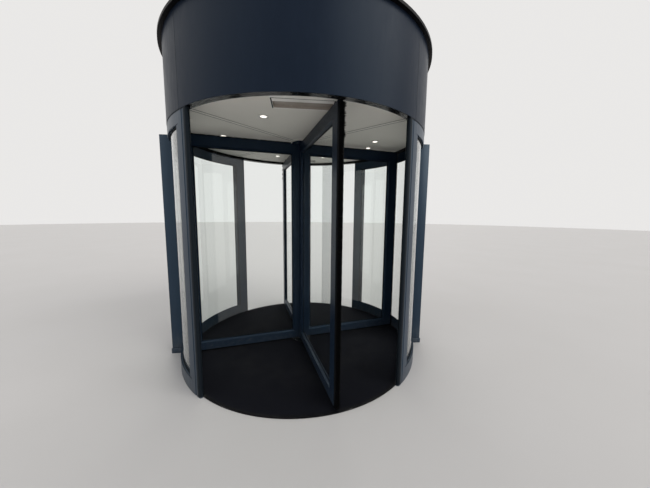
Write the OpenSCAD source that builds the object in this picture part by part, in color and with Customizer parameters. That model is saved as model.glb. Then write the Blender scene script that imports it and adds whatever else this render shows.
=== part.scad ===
// Revolving door with four glazed wings under a round canopy.
// Millimetres, +Z up, origin on the turning axis at floor level.
// The front throat looks along -Y, and the building wall runs along X.

/* [Drum] */
// Outer radius of the canopy
canopy_r = 1250; // [1150:10:1400]
// Clear height from the floor to the underside of the canopy
clear_h = 2200; // [2100:10:2400]
// Height of the canopy's fascia
fascia_h = 655; // [400:5:800]
// Thickness of the curved fascia sheet
fascia_t = 6; // [4:1:8]
// How far the posts and rails stand back from the fascia
wall_setback = 2; // [2:0.5:8]
// Radial depth of the posts and curved rails
wall_depth = 34; // [30:0.5:42]

/* [Throats] */
// Half angle of the clear throat opening, front and rear
throat_half_angle = 40.5; // [34:0.5:43]
// Width of a throat post along its arc
post_w = 125; // [95:1:135]
// Radius of the flutes in a post's outer face
flute_r = 8; // [5:0.5:9]
// Depth of the flutes
flute_depth = 6; // [3:0.5:8]
// Radius of the bead groove beside the flutes
bead_r = 2.2; // [1.5:0.1:3]

/* [Curved walls] */
// Height of the outer ledge of the curved wall's bottom rail
base_rail_h = 120; // [80:1:160]
// How far the bottom rail's inner lip rises above its outer ledge
base_lip = 12; // [4:1:20]
// Height of the head rail of the curved wall
head_rail_h = 96; // [60:1:140]
// Chamfer along the outer edge of the curved rails
rail_chamfer = 3; // [1:0.5:6]
// Thickness of the curved glass
wall_glass_t = 10; // [8:1:12]
// How far the curved glass lies inside the middle of its rails
wall_glass_back = 8; // [5:0.5:8]
// Depth of the glazing slots in the curved rails and posts
wall_slot = 14; // [10:1:20]
// Room on each side of a pane in its slot
slot_play = 1; // [0.5:0.1:1.5]
// Room between a pane's top or side edge and the bottom of its slot
pane_gap = 2; // [1:0.5:4]
// Flat land beside a glazing slot
slot_land = 2; // [1:0.1:2.5]
// Width of the middle post where the wall meets the building
middle_post_w = 80; // [60:1:120]

/* [Wall jambs] */
// How far a jamb reaches out beyond the curved wall
jamb_out = 100; // [60:1:200]
// Distance between the front and rear faces of the jambs
jamb_depth = 436; // [300:2:500]
// Thickness of a jamb's cover flanges
jamb_flange = 30; // [20:1:50]
// Thickness of a jamb's web
jamb_web = 8; // [4:1:12]
// Height of the foot block in front of a jamb
foot_h = 52; // [30:1:80]
// How far the foot block stands proud of the jamb
foot_proud = 7; // [3:1:12]
// Gap between the foot block and the curved wall
foot_gap = 2; // [1:0.5:6]

/* [Floor] */
// How far the trim ring round the mat stands back from the canopy's edge
floor_ring_back = 29; // [20:1:60]
// Width of the trim ring
floor_ring_w = 24; // [16:1:40]
// Height of the trim ring
floor_ring_h = 8; // [6:0.5:12]
// Height of the mat
mat_h = 7; // [4:0.5:10]
// Radius of the floor bearing's cover
bearing_r = 105; // [90:1:160]
// Height of the floor bearing's cover
bearing_h = 10; // [9:0.5:12]

/* [Canopy] */
// Width of the soffit ring from the canopy's edge inwards
soffit_w = 56; // [50:1:60]
// Thickness of the soffit ring
soffit_t = 12; // [8:1:16]
// Thickness of the soffit ring's upstand
upstand_t = 6; // [4:0.5:10]
// Height of the ceiling above the soffit
ceiling_rise = 30; // [26:1:50]
// Thickness of the ceiling panels
ceiling_t = 10; // [8:1:16]
// Gap between neighbouring ceiling panels
ceiling_gap = 2; // [1:0.5:6]
// Width of the strips that cover these gaps
strip_w = 42; // [30:1:60]
// Thickness of the cover strips
strip_t = 2; // [1:0.5:3]
// Thickness of the roof sheet
roof_t = 10; // [6:1:16]
// How far the closing ring on top reaches beyond the fascia
top_ring_out = 30; // [10:1:50]
// Height of the closing ring
top_ring_h = 20; // [10:1:40]
// How far the closing ring reaches in over the roof
top_ring_in = 60; // [30:1:100]
// Width and height of the beam that carries the rotor's head
beam_w = 90; // [60:1:120]
// Wall thickness of the beam
beam_wall = 5; // [3:0.5:8]
// Height of the beam above the ceiling panels
beam_above = 60; // [40:1:100]

/* [Sensors and lights] */
// Length of a sensor housing
sensor_l = 450; // [300:5:500]
// Distance from the soffit ring's inner edge to a sensor housing
sensor_back = 69; // [54:1:120]
// Width of the plain lip along a sensor housing's outer edge
sensor_lip = 86; // [30:1:100]
// Width of the window in a sensor housing
sensor_window = 112; // [60:1:130]
// Width of the rim round the window's other sides
sensor_rim = 14; // [8:1:20]
// Depth of the window in a sensor housing
sensor_recess = 24; // [10:1:30]
// Height of a sensor housing
sensor_h = 46; // [30:1:60]
// How far a sensor housing hangs below the ceiling
sensor_drop = 6; // [3:0.5:8]
// Radius of a ceiling light
light_r = 44; // [30:1:60]
// Distance from the soffit ring's inner edge to the middle of a ceiling light
light_back = 404; // [350:2:480]
// Angle of the throat lights, counted from the throat's middle
light_throat_angle = 23; // [15:1:35]
// Angle of the side lights, counted from the same line
light_side_angle = 80; // [60:1:84]
// Thickness of a ceiling light's bezel
light_t = 4; // [2:0.5:6]
// Width of the bezel round the lens
light_rim = 18; // [4:0.5:24]
// Depth of the lens in its bezel
light_recess = 1.5; // [0.5:0.5:1.5]

/* [Rotor] */
// Number of wings on the rotor
wings = 4; // [4:1:4]
// Angle of the front wing, counted from +X
rest_angle = -78; // [-86:1:-65]
// Width of the square centre column
column_w = 68; // [60:1:80]
// Thickness of a wing's frame
wing_t = 50; // [40:1:56]
// Width of a wing's inner stile, beside the column
stile_w = 70; // [50:1:110]
// Width of a wing's outer stile, which holds the side brush
outer_stile_w = 110; // [60:1:140]
// Height of a wing's bottom rail
wing_base_h = 90; // [60:1:140]
// Height of a wing's top rail
wing_head_h = 104; // [80:1:160]
// Chamfer of the wing frame towards the glass
wing_chamfer = 14; // [5:1:20]
// Thickness of a wing's glass
wing_glass_t = 10; // [8:1:10]
// Depth of the glazing slots in a wing
wing_slot = 12; // [8:1:18]
// Thickness of the brush seals
brush_t = 28; // [8:1:40]
// How far the top brush reaches out beyond the wing's frame
brush_over = 8; // [4:1:12]
// Running gap between the brushes and the fixed pieces round them
brush_gap = 6; // [5.5:0.5:12]
// Height of the bottom and top brushes
edge_brush = 16; // [10:1:24]
// Gap between the floor and the wing frames
wing_lift = 34; // [30:1:50]
// Radius of the pins that the rotor turns on
pin_r = 18; // [12:0.5:22]
// Length of each pin inside the column
pin_l = 50; // [30:1:80]
// Room beyond the end of each pin
pin_play = 5; // [3:1:10]
// Radius of the rotor's head plate
head_plate_r = 100; // [80:1:115]
// How far the bearing's cover plate reaches beyond the head plate
cover_over = 20; // [10:1:30]
// Wall of the bearing's boss round its pin
boss_wall = 30; // [20:1:40]
// Gap from the floor bearing's cover and the head plate to the brushes
hub_gap = 10; // [6:1:20]

/* [Hidden] */
// Node names, fixed pieces first

// Colours
FRAME = "#2c3a4c";
DARK = "#15181c";
GLASS = "#a9bfc0";
CEILING = "#b9b6ae";
WHITE = "#e4e4e0";

// Smallest gap between pieces that meet on a curve
seat = 0.3;
// Radial running clearance of the rotor's pins
pin_gap = 0.05;

// Wall ring, post and glass places
wall_out_r = canopy_r - wall_setback;
wall_in_r = wall_out_r - wall_depth;
wall_mid_r = (wall_out_r + wall_in_r) / 2;
glass_out_r = wall_mid_r - wall_glass_back + wall_glass_t / 2;
glass_in_r = glass_out_r - wall_glass_t;
deg = 180 / PI;
nose_r = wall_depth / 2;
post_start = throat_half_angle - 90;
post_end = post_start + post_w / wall_mid_r * deg;
slot_angle = wall_slot / wall_mid_r * deg;
pane_angle = (wall_slot - pane_gap) / wall_mid_r * deg;
nose_at = post_start + asin(nose_r / wall_mid_r);
middle_half = middle_post_w / 2 / wall_mid_r * deg;
wing_slot_w = wing_glass_t + 2 * slot_play;
jamb_x = wall_out_r + jamb_out;

// Heights of the fixed pieces
base_top = base_rail_h;
head_bottom = clear_h - head_rail_h;
fascia_top = clear_h + fascia_h;
ceiling_z = clear_h + ceiling_rise;
fascia_in_r = canopy_r - fascia_t;
soffit_in_r = canopy_r - soffit_w;
floor_ring_r = canopy_r - floor_ring_back;
mat_r = floor_ring_r - floor_ring_w;
sensor_w = sensor_lip + sensor_window + sensor_rim;
sensor_out = soffit_in_r - sensor_back;
light_at = soffit_in_r - light_back;
boss_r = pin_r + boss_wall;
cover_r = head_plate_r + cover_over;
beam_z = ceiling_z + ceiling_t + beam_above;

// Heights and radii of the rotor
column_bottom = bearing_h + brush_gap;
wing_bottom = wing_lift;
brush_bottom = max(mat_h, floor_ring_h) + brush_gap;
brush_top = ceiling_z - sensor_drop - brush_gap;
wing_top = brush_top - edge_brush;
brush_tip = wall_in_r - brush_gap;
side_brush_top = clear_h - brush_gap;
top_brush_tip = soffit_in_r - brush_gap;
wing_out = top_brush_tip - brush_over;
wing_in = column_w / 2;
hub_reach = max(bearing_r, head_plate_r) + hub_gap;

// A plan sector from one angle to another, up to a radius
module sector(r, from, to) {
    reach = 2 * r;
    mid = (from + to) / 2;
    polygon([
        [0, 0],
        [reach * cos(from), reach * sin(from)],
        [reach * cos(mid), reach * sin(mid)],
        [reach * cos(to), reach * sin(to)]
    ]);
}

// A plan stretch of ring
module ring_part(r_out, r_in, from, to) {
    intersection() {
        difference() {
            circle(r = r_out, $fn = 360);
            circle(r = r_in, $fn = 360);
        }
        sector(r_out, from, to);
    }
}

// A section in radius and height swept round the axis
module sweep(from, to) {
    rotate([0, 0, from])
        rotate_extrude(angle = to - from, $fn = 360)
            children();
}

// A rail section: flat faces, chamfered towards the glass, with a glazing slot
module rail_section(depth, h, chamfer, slot, slot_width) {
    polygon([
        [-depth / 2, 0],
        [depth / 2, 0],
        [depth / 2, h - chamfer],
        [slot_width / 2 + slot_land, h],
        [slot_width / 2, h],
        [slot_width / 2, h - slot],
        [-slot_width / 2, h - slot],
        [-slot_width / 2, h],
        [-slot_width / 2 - slot_land, h],
        [-depth / 2, h - chamfer]
    ]);
}

// Section of a curved rail: the pane's slot lies near the inner face
module wall_rail_section(h, lip) {
    half = wall_depth / 2;
    slot_out = glass_out_r + slot_play - wall_mid_r;
    slot_in = glass_in_r - slot_play - wall_mid_r;
    polygon([
        [-half, 0],
        [half, 0],
        [half, h - rail_chamfer],
        [half - rail_chamfer, h],
        [slot_out, h],
        [slot_out, h - wall_slot],
        [slot_in, h - wall_slot],
        [slot_in, h + lip],
        [-half, h + lip]
    ]);
}

// Floor pieces
module floor_ring() {
    color(DARK)
        difference() {
            cylinder(r = floor_ring_r, h = floor_ring_h, $fn = 360);
            translate([0, 0, -1])
                cylinder(r = mat_r, h = floor_ring_h + 2, $fn = 360);
        }
}

module floor_mat() {
    color(DARK)
        difference() {
            cylinder(r = mat_r, h = mat_h, $fn = 360);
            translate([0, 0, -1])
                cylinder(r = bearing_r, h = mat_h + 2, $fn = 180);
        }
}

module floor_bearing() {
    color(FRAME) {
        cylinder(r = bearing_r, h = bearing_h, $fn = 180);
        translate([0, 0, bearing_h - 1])
            cylinder(r = pin_r, h = brush_gap + pin_l + 1, $fn = 64);
    }
}

// Room for the trim ring under the posts and rails
module ring_room() {
    translate([0, 0, -1])
        cylinder(r = floor_ring_r + seat, h = floor_ring_h + 1, $fn = 360);
}

// A throat post: round nose towards the throat, fluted outer face
module post_section() {
    lip = flute_r - flute_depth;
    bead_at = nose_at + (post_end - nose_at) * 0.26;
    flute_at = nose_at + (post_end - nose_at) * 0.42;
    difference() {
        union() {
            ring_part(wall_out_r, wall_in_r, nose_at, post_end);
            rotate([0, 0, nose_at])
                translate([wall_mid_r, 0])
                    circle(r = nose_r, $fn = 64);
        }
        rotate([0, 0, flute_at])
            translate([wall_out_r + lip, 0])
                circle(r = flute_r, $fn = 48);
        rotate([0, 0, bead_at])
            translate([wall_out_r, 0])
                circle(r = bead_r, $fn = 24);
        ring_part(
            glass_out_r + slot_play, glass_in_r - slot_play,
            post_end - slot_angle, post_end + 1
        );
    }
}

module throat_post() {
    color(FRAME)
        difference() {
            linear_extrude(height = clear_h)
                post_section();
            ring_room();
        }
}

module post_front_right() { throat_post(); }
module post_front_left() { mirror([1, 0, 0]) throat_post(); }
module post_rear_right() { mirror([0, 1, 0]) throat_post(); }
module post_rear_left() { mirror([1, 0, 0]) mirror([0, 1, 0]) throat_post(); }

// Curved rails and the middle post
module wall_base() {
    color(FRAME)
        difference() {
            sweep(post_end, -post_end)
                translate([wall_mid_r, 0])
                    wall_rail_section(base_rail_h, base_lip);
            ring_room();
        }
}

module wall_head() {
    color(FRAME)
        sweep(post_end, -post_end)
            translate([wall_mid_r, clear_h])
                mirror([0, 1])
                    wall_rail_section(head_rail_h, 0);
}

module wall_middle_post() {
    lip_r = glass_in_r - slot_play;
    color(FRAME)
        difference() {
            translate([0, 0, base_top])
                linear_extrude(height = head_bottom - base_top)
                    difference() {
                        ring_part(wall_out_r, wall_in_r, -middle_half, middle_half);
                        for (side = [0, 1])
                            mirror([0, side])
                                ring_part(
                                    glass_out_r + slot_play, lip_r,
                                    middle_half - slot_angle, middle_half + 1
                                );
                    }
            translate([0, 0, base_top - 1])
                cylinder(r = lip_r + seat, h = base_lip + 1, $fn = 360);
        }
}

module wall_base_right() { wall_base(); }
module wall_base_left() { mirror([1, 0, 0]) wall_base(); }
module wall_head_right() { wall_head(); }
module wall_head_left() { mirror([1, 0, 0]) wall_head(); }
module wall_middle_post_right() { wall_middle_post(); }
module wall_middle_post_left() { mirror([1, 0, 0]) wall_middle_post(); }

// A curved pane from a throat post to the middle post
module wall_glass() {
    pane_bottom = base_top - wall_slot;
    pane_top = head_bottom + wall_slot - pane_gap;
    color(GLASS)
        translate([0, 0, pane_bottom])
            linear_extrude(height = pane_top - pane_bottom)
                ring_part(
                    glass_out_r, glass_in_r,
                    post_end - pane_angle, pane_angle - middle_half
                );
}

module wall_glass_front_right() { wall_glass(); }
module wall_glass_front_left() { mirror([1, 0, 0]) wall_glass(); }
module wall_glass_rear_right() { mirror([0, 1, 0]) wall_glass(); }
module wall_glass_rear_left() { mirror([1, 0, 0]) mirror([0, 1, 0]) wall_glass(); }

// A jamb: a channel that covers the joint between the drum and the building
module jamb_section() {
    half = jamb_depth / 2;
    difference() {
        translate([0, -half])
            square([jamb_x, jamb_depth]);
        translate([-1, -half + jamb_flange])
            square([jamb_x + 1 - jamb_web, jamb_depth - 2 * jamb_flange]);
        circle(r = wall_out_r + seat, $fn = 360);
    }
}

module jamb() {
    half = jamb_depth / 2;
    foot_x = sqrt(pow(wall_out_r + seat, 2) - pow(half - jamb_flange, 2)) + foot_gap;
    color(FRAME) {
        linear_extrude(height = clear_h)
            jamb_section();
        for (side = [-1, 1])
            translate([foot_x, side > 0 ? half - jamb_flange : -half - foot_proud, 0])
                cube([jamb_x + foot_proud - foot_x, jamb_flange + foot_proud, foot_h]);
    }
}

module jamb_right() { jamb(); }
module jamb_left() { mirror([1, 0, 0]) jamb(); }

// Canopy
module fascia(at) {
    color(FRAME)
        translate([0, 0, clear_h])
            linear_extrude(height = fascia_h)
                ring_part(canopy_r, fascia_in_r, at - 45, at + 45);
}

module fascia_front() { fascia(-90); }
module fascia_right() { fascia(0); }
module fascia_rear() { fascia(90); }
module fascia_left() { fascia(180); }

module top_ring() {
    color(DARK)
        translate([0, 0, fascia_top])
            difference() {
                cylinder(r = canopy_r + top_ring_out, h = top_ring_h, $fn = 360);
                translate([0, 0, -1])
                    cylinder(r = canopy_r - top_ring_in, h = top_ring_h + 2, $fn = 360);
            }
}

module roof_sheet() {
    color(WHITE)
        translate([0, 0, fascia_top - roof_t])
            cylinder(r = fascia_in_r, h = roof_t, $fn = 360);
}

// The soffit ring: a flat dark ring with an upstand that carries the ceiling
module soffit_ring() {
    color(DARK)
        translate([0, 0, clear_h])
            rotate_extrude($fn = 360)
                polygon([
                    [soffit_in_r, 0],
                    [fascia_in_r, 0],
                    [fascia_in_r, soffit_t],
                    [soffit_in_r + upstand_t, soffit_t],
                    [soffit_in_r + upstand_t, ceiling_rise],
                    [soffit_in_r, ceiling_rise]
                ]);
}

// A quarter of the ceiling; its edges lie in the middle of the cover strips
module ceiling_panel(at, strip_side) {
    inset = ceiling_gap / 2 + strip_side * strip_w / 2;
    color(CEILING)
        translate([0, 0, ceiling_z])
            difference() {
                linear_extrude(height = ceiling_t)
                    intersection() {
                        circle(r = fascia_in_r, $fn = 360);
                        rotate([0, 0, at - 45])
                            translate([inset, inset])
                                square(2 * canopy_r);
                    }
                translate([0, 0, -1])
                    cylinder(r = boss_r, h = ceiling_t + 2, $fn = 90);
                for (side = [0, 1])
                    mirror([0, side, 0])
                        translate([-sensor_l / 2, sensor_out - sensor_w, -1])
                            cube([sensor_l, sensor_w, ceiling_t + 2]);
            }
}

module ceiling_front() { ceiling_panel(-90, -1); }
module ceiling_right() { ceiling_panel(0, 1); }
module ceiling_rear() { ceiling_panel(90, -1); }
module ceiling_left() { ceiling_panel(180, 1); }

// Flat strips that cover the gaps between the ceiling panels
module ceiling_strips() {
    color(CEILING)
        for (left = [0, 1], rear = [0, 1])
            mirror([left, 0, 0])
                mirror([0, rear, 0])
                    translate([0, 0, ceiling_z - strip_t])
                        difference() {
                            intersection() {
                                rotate([0, 0, -45])
                                    cube([canopy_r, strip_w, strip_t]);
                                cylinder(r = soffit_in_r - seat, h = strip_t, $fn = 360);
                            }
                            translate([0, 0, -1])
                                cylinder(r = cover_r + seat, h = strip_t + 2, $fn = 180);
                        }
}

// The beam in the canopy and the bearing that hangs from it
module head_beam() {
    half_l = sqrt(pow(fascia_in_r, 2) - pow(beam_w / 2, 2)) - seat;
    bore_w = beam_w - 2 * beam_wall;
    color(FRAME)
        difference() {
            translate([-half_l, -beam_w / 2, beam_z])
                cube([2 * half_l, beam_w, beam_w]);
            translate([-half_l - 1, -bore_w / 2, beam_z + beam_wall])
                cube([2 * half_l + 2, bore_w, bore_w]);
        }
}

module head_bearing() {
    plate_t = sensor_drop - 1;
    color(FRAME) {
        translate([0, 0, ceiling_z - plate_t])
            cylinder(r = cover_r, h = plate_t, $fn = 180);
        translate([0, 0, ceiling_z - 1])
            cylinder(r = boss_r, h = beam_z - ceiling_z + 1, $fn = 90);
        translate([0, 0, brush_top - pin_l])
            cylinder(r = pin_r, h = pin_l + brush_gap + sensor_drop, $fn = 64);
    }
}

// Sensor housings and lights in the ceiling
module sensor() {
    color(WHITE)
        translate([-sensor_l / 2, sensor_out - sensor_w, ceiling_z - sensor_drop])
            difference() {
                cube([sensor_l, sensor_w, sensor_h]);
                translate([sensor_rim, sensor_rim, -1])
                    cube([sensor_l - 2 * sensor_rim, sensor_window, sensor_recess + 1]);
            }
}

module sensor_front() { mirror([0, 1, 0]) sensor(); }
module sensor_rear() { sensor(); }

module ceiling_lights() {
    color(WHITE)
        for (left = [0, 1], rear = [0, 1], at = [light_throat_angle, light_side_angle])
            mirror([left, 0, 0])
                mirror([0, rear, 0])
                    rotate([0, 0, at - 90])
                        translate([light_at, 0, ceiling_z - light_t])
                            difference() {
                                cylinder(r = light_r, h = light_t, $fn = 48);
                                translate([0, 0, -1])
                                    cylinder(r = light_r - light_rim, h = light_recess + 1, $fn = 48);
                            }
}

// Rotor
module rotor_column() {
    color(FRAME)
        difference() {
            union() {
                rotate([0, 0, rest_angle])
                    translate([-column_w / 2, -column_w / 2, column_bottom])
                        cube([column_w, column_w, wing_top - column_bottom]);
                translate([0, 0, wing_top])
                    cylinder(r = head_plate_r, h = brush_top - wing_top, $fn = 180);
            }
            translate([0, 0, column_bottom - 1])
                cylinder(r = pin_r + pin_gap, h = pin_l + pin_play + 1, $fn = 64);
            translate([0, 0, brush_top - pin_l - pin_play])
                cylinder(r = pin_r + pin_gap, h = pin_l + pin_play + 1, $fn = 64);
        }
}

// Places a piece of the wing with this number
module at_wing(number) {
    rotate([0, 0, rest_angle + number * 360 / wings])
        children();
}

// A wing rail or stile from its own section, glass side up
module wing_bar(width, length) {
    linear_extrude(height = length)
        rail_section(wing_t, width, wing_chamfer, wing_slot, wing_slot_w);
}

module wing_frame() {
    length = wing_out - wing_in;
    height = wing_top - wing_bottom;
    color(FRAME)
        intersection() {
            union() {
                translate([wing_in, 0, wing_bottom])
                    rotate([90, 0, 90])
                        wing_bar(wing_base_h, length);
                translate([wing_in, 0, wing_top])
                    rotate([-90, 0, -90])
                        wing_bar(wing_head_h, length);
                translate([wing_in, 0, wing_bottom])
                    rotate([0, 0, -90])
                        wing_bar(stile_w, height);
                translate([wing_out, 0, wing_bottom])
                    rotate([0, 0, 90])
                        wing_bar(outer_stile_w, height);
            }
            translate([wing_in, -wing_t / 2, wing_bottom])
                cube([length, wing_t, height]);
        }
}

module wing_glass() {
    glass_in = wing_in + stile_w - wing_slot;
    glass_out = wing_out - outer_stile_w + wing_slot;
    glass_bottom = wing_bottom + wing_base_h - wing_slot;
    glass_top = wing_top - wing_head_h + wing_slot - pane_gap;
    color(GLASS)
        translate([glass_in, -wing_glass_t / 2, glass_bottom])
            cube([glass_out - glass_in, wing_glass_t, glass_top - glass_bottom]);
}

// Brush seals along the bottom, the outer edge and the top of a wing
module wing_brush() {
    color(DARK)
        translate([0, brush_t / 2, 0])
            rotate([90, 0, 0])
                linear_extrude(height = brush_t)
                    polygon([
                        [hub_reach, brush_bottom],
                        [brush_tip, brush_bottom],
                        [brush_tip, side_brush_top],
                        [top_brush_tip, side_brush_top],
                        [top_brush_tip, brush_top],
                        [hub_reach, brush_top],
                        [hub_reach, wing_top],
                        [wing_out, wing_top],
                        [wing_out, wing_bottom],
                        [hub_reach, wing_bottom]
                    ]);
}

module wing_front_frame() { at_wing(0) wing_frame(); }
module wing_right_frame() { at_wing(1) wing_frame(); }
module wing_rear_frame() { at_wing(2) wing_frame(); }
module wing_left_frame() { at_wing(3) wing_frame(); }
module wing_front_glass() { at_wing(0) wing_glass(); }
module wing_right_glass() { at_wing(1) wing_glass(); }
module wing_rear_glass() { at_wing(2) wing_glass(); }
module wing_left_glass() { at_wing(3) wing_glass(); }
module wing_front_brush() { at_wing(0) wing_brush(); }
module wing_right_brush() { at_wing(1) wing_brush(); }
module wing_rear_brush() { at_wing(2) wing_brush(); }
module wing_left_brush() { at_wing(3) wing_brush(); }

floor_ring();
floor_mat();
floor_bearing();
post_front_right();
post_front_left();
post_rear_right();
post_rear_left();
wall_base_right();
wall_base_left();
wall_head_right();
wall_head_left();
wall_middle_post_right();
wall_middle_post_left();
wall_glass_front_right();
wall_glass_front_left();
wall_glass_rear_right();
wall_glass_rear_left();
jamb_right();
jamb_left();
fascia_front();
fascia_right();
fascia_rear();
fascia_left();
top_ring();
roof_sheet();
soffit_ring();
ceiling_front();
ceiling_right();
ceiling_rear();
ceiling_left();
ceiling_strips();
head_beam();
head_bearing();
sensor_front();
sensor_rear();
ceiling_lights();
rotor_column();
wing_front_frame();
wing_right_frame();
wing_rear_frame();
wing_left_frame();
wing_front_glass();
wing_right_glass();
wing_rear_glass();
wing_left_glass();
wing_front_brush();
wing_right_brush();
wing_rear_brush();
wing_left_brush();
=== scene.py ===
import math
import random

import bmesh
import bpy
from mathutils import Matrix, Vector


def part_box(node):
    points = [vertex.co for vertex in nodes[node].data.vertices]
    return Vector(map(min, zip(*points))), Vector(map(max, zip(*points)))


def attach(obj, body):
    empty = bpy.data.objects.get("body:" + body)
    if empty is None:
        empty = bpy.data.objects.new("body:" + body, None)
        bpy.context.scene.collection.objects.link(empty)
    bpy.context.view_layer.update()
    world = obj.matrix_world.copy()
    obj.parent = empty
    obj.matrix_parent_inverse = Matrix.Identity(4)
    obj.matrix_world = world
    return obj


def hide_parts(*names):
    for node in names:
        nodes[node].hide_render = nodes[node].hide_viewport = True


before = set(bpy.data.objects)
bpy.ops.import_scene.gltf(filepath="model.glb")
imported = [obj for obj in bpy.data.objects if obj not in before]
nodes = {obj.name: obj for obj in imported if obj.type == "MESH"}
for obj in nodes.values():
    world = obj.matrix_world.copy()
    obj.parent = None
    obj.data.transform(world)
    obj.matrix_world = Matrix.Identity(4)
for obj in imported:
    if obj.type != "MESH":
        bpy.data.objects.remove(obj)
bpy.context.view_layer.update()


# Floor and surroundings: a plain pale floor that keeps the door's shadow, and
# a pale surround that gloss and glass pick up. Neither belongs to the door.
class Shade:
    """A shader socket that Python arithmetic turns into Math nodes."""

    def __init__(self, paint, socket):
        self.paint = paint
        self.socket = socket

    def __add__(self, other):
        return self.paint.maths("ADD", self, other)

    def __sub__(self, other):
        return self.paint.maths("SUBTRACT", self, other)

    def __rsub__(self, other):
        return self.paint.maths("SUBTRACT", other, self)

    def __mul__(self, other):
        return self.paint.maths("MULTIPLY", self, other)

    def __pow__(self, other):
        return self.paint.maths("POWER", self, other)

    __radd__ = __add__
    __rmul__ = __mul__


class Paint:
    """A material, or the world, that is put together node by node."""

    def __init__(self, owner):
        owner.use_nodes = True
        self.owner = owner
        self.tree = owner.node_tree
        self.tree.nodes.clear()

    def node(self, kind, settings=None, sockets=None, out=0):
        made = self.tree.nodes.new(kind)
        for name, value in (settings or {}).items():
            setattr(made, name, value)
        for key, value in (sockets or {}).items():
            if isinstance(value, Shade):
                self.tree.links.new(value.socket, made.inputs[key])
            else:
                made.inputs[key].default_value = value
        return Shade(self, made.outputs[out])

    def maths(self, operation, *values):
        return self.node("ShaderNodeMath", {"operation": operation}, dict(enumerate(values)))

    def place(self):
        return self.node("ShaderNodeTexCoord", out="Object")

    def axis(self, letter):
        return self.node("ShaderNodeSeparateXYZ", {}, {0: self.place()}, out=letter)

    def turned(self, location=(0.0, 0.0, 0.0), rotation=(0.0, 0.0, 0.0), scale=(1.0, 1.0, 1.0)):
        sockets = {"Vector": self.place(), "Location": location, "Rotation": rotation, "Scale": scale}
        return self.node("ShaderNodeMapping", {}, sockets)

    def noise(self, scale, detail=3.0, roughness=0.55, where=None):
        sockets = {"Vector": where or self.place(), "Scale": scale, "Detail": detail, "Roughness": roughness}
        return self.node("ShaderNodeTexNoise", {}, sockets)

    def cells(self, scale):
        sockets = {"Vector": self.place(), "Scale": scale}
        return self.node("ShaderNodeTexVoronoi", {}, sockets, out="Distance")

    def between(self, value, low, high, start=0.0, end=1.0):
        sockets = {"Value": value, "From Min": low, "From Max": high, "To Min": start, "To Max": end}
        return self.node("ShaderNodeMapRange", {}, sockets)

    def spread(self, noise, start, end):
        """Stretches a noise, which mostly stays between 0.3 and 0.7, over two values."""
        return self.between(noise, 0.3, 0.7, start, end)

    def mix(self, share, first, second):
        return self.node("ShaderNodeMix", {"data_type": "RGBA"}, {0: share, 6: first, 7: second}, out=2)

    def bump(self, height, strength, distance, under=None):
        sockets = {"Height": height, "Strength": strength, "Distance": distance}
        if under:
            sockets["Normal"] = under
        return self.node("ShaderNodeBump", {}, sockets)

    def surface(self, shader):
        in_world = isinstance(self.owner, bpy.types.World)
        end = self.tree.nodes.new("ShaderNodeOutputWorld" if in_world else "ShaderNodeOutputMaterial")
        self.tree.links.new(shader.socket, end.inputs["Surface"])
        return self.owner

    def principled(self, sockets):
        return self.surface(self.node("ShaderNodeBsdfPrincipled", {}, sockets))


def colour(red, green, blue):
    return (red, green, blue, 1.0)


def new_paint(name):
    return Paint(bpy.data.materials.new(name))


def stone_floor():
    paint = new_paint("pale_floor")
    cloud = paint.noise(0.8, 4.0)
    tone = paint.mix(cloud, colour(0.57, 0.555, 0.54), colour(0.61, 0.595, 0.585))
    return paint.principled({"Base Color": tone, "Roughness": 0.6, "Specular IOR Level": 0.3})


FLOOR_RADIUS, FLOOR_SIDES = 40.0, 96


def add_object(name, data):
    made = bpy.data.objects.new(name, data)
    bpy.context.scene.collection.objects.link(made)
    return made


floor_mesh = bmesh.new()
bmesh.ops.create_circle(floor_mesh, cap_ends=True, segments=FLOOR_SIDES, radius=FLOOR_RADIUS)
floor_data = bpy.data.meshes.new("floor")
floor_mesh.to_mesh(floor_data)
floor_mesh.free()
floor_data.materials.append(stone_floor())
floor = add_object("floor", floor_data)

SURROUND = colour(0.82, 0.81, 0.8)
AMBIENT = colour(0.97, 0.975, 1.0)
AMBIENT_LEVEL = 0.55
world = Paint(bpy.data.worlds.new("surround"))
seen = world.node("ShaderNodeLightPath", out="Is Camera Ray")
shiny = world.node("ShaderNodeLightPath", out="Is Glossy Ray")
through = world.node("ShaderNodeLightPath", out="Is Transmission Ray")
shown = world.maths("MAXIMUM", world.maths("MAXIMUM", seen, shiny), through)
ambient = world.node("ShaderNodeBackground", {}, {"Color": AMBIENT, "Strength": AMBIENT_LEVEL})
pale = world.node("ShaderNodeBackground", {}, {"Color": SURROUND, "Strength": 1.0})
bpy.context.scene.world = world.surface(
    world.node("ShaderNodeMixShader", {}, {0: shown, 1: ambient, 2: pale})
)
bpy.context.scene.view_settings.view_transform = "Standard"


# Lamps: a broad soft key from the right, a weaker fill from the front left and
# one from behind, all far away, so that the floor stays even.
def soft_lamp(name, place, level, spread, tint):
    """A lamp that shines from the direction of a place, spread over an angle in degrees."""
    lamp = bpy.data.lights.new(name, "SUN")
    lamp.energy = level
    lamp.angle = math.radians(spread)
    lamp.color = tint
    add_object(name, lamp).rotation_euler = (-Vector(place)).to_track_quat("-Z", "Y").to_euler()


soft_lamp("key_lamp", place=(4.4, -3.1, 3.4), level=1.6, spread=50.0, tint=(1.0, 0.985, 0.96))
soft_lamp("fill_lamp", place=(-4.8, -2.2, 3.0), level=0.4, spread=60.0, tint=(0.93, 0.97, 1.0))
soft_lamp("rear_lamp", place=(0.6, 5.2, 4.4), level=0.55, spread=60.0, tint=(1.0, 0.96, 0.9))


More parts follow.
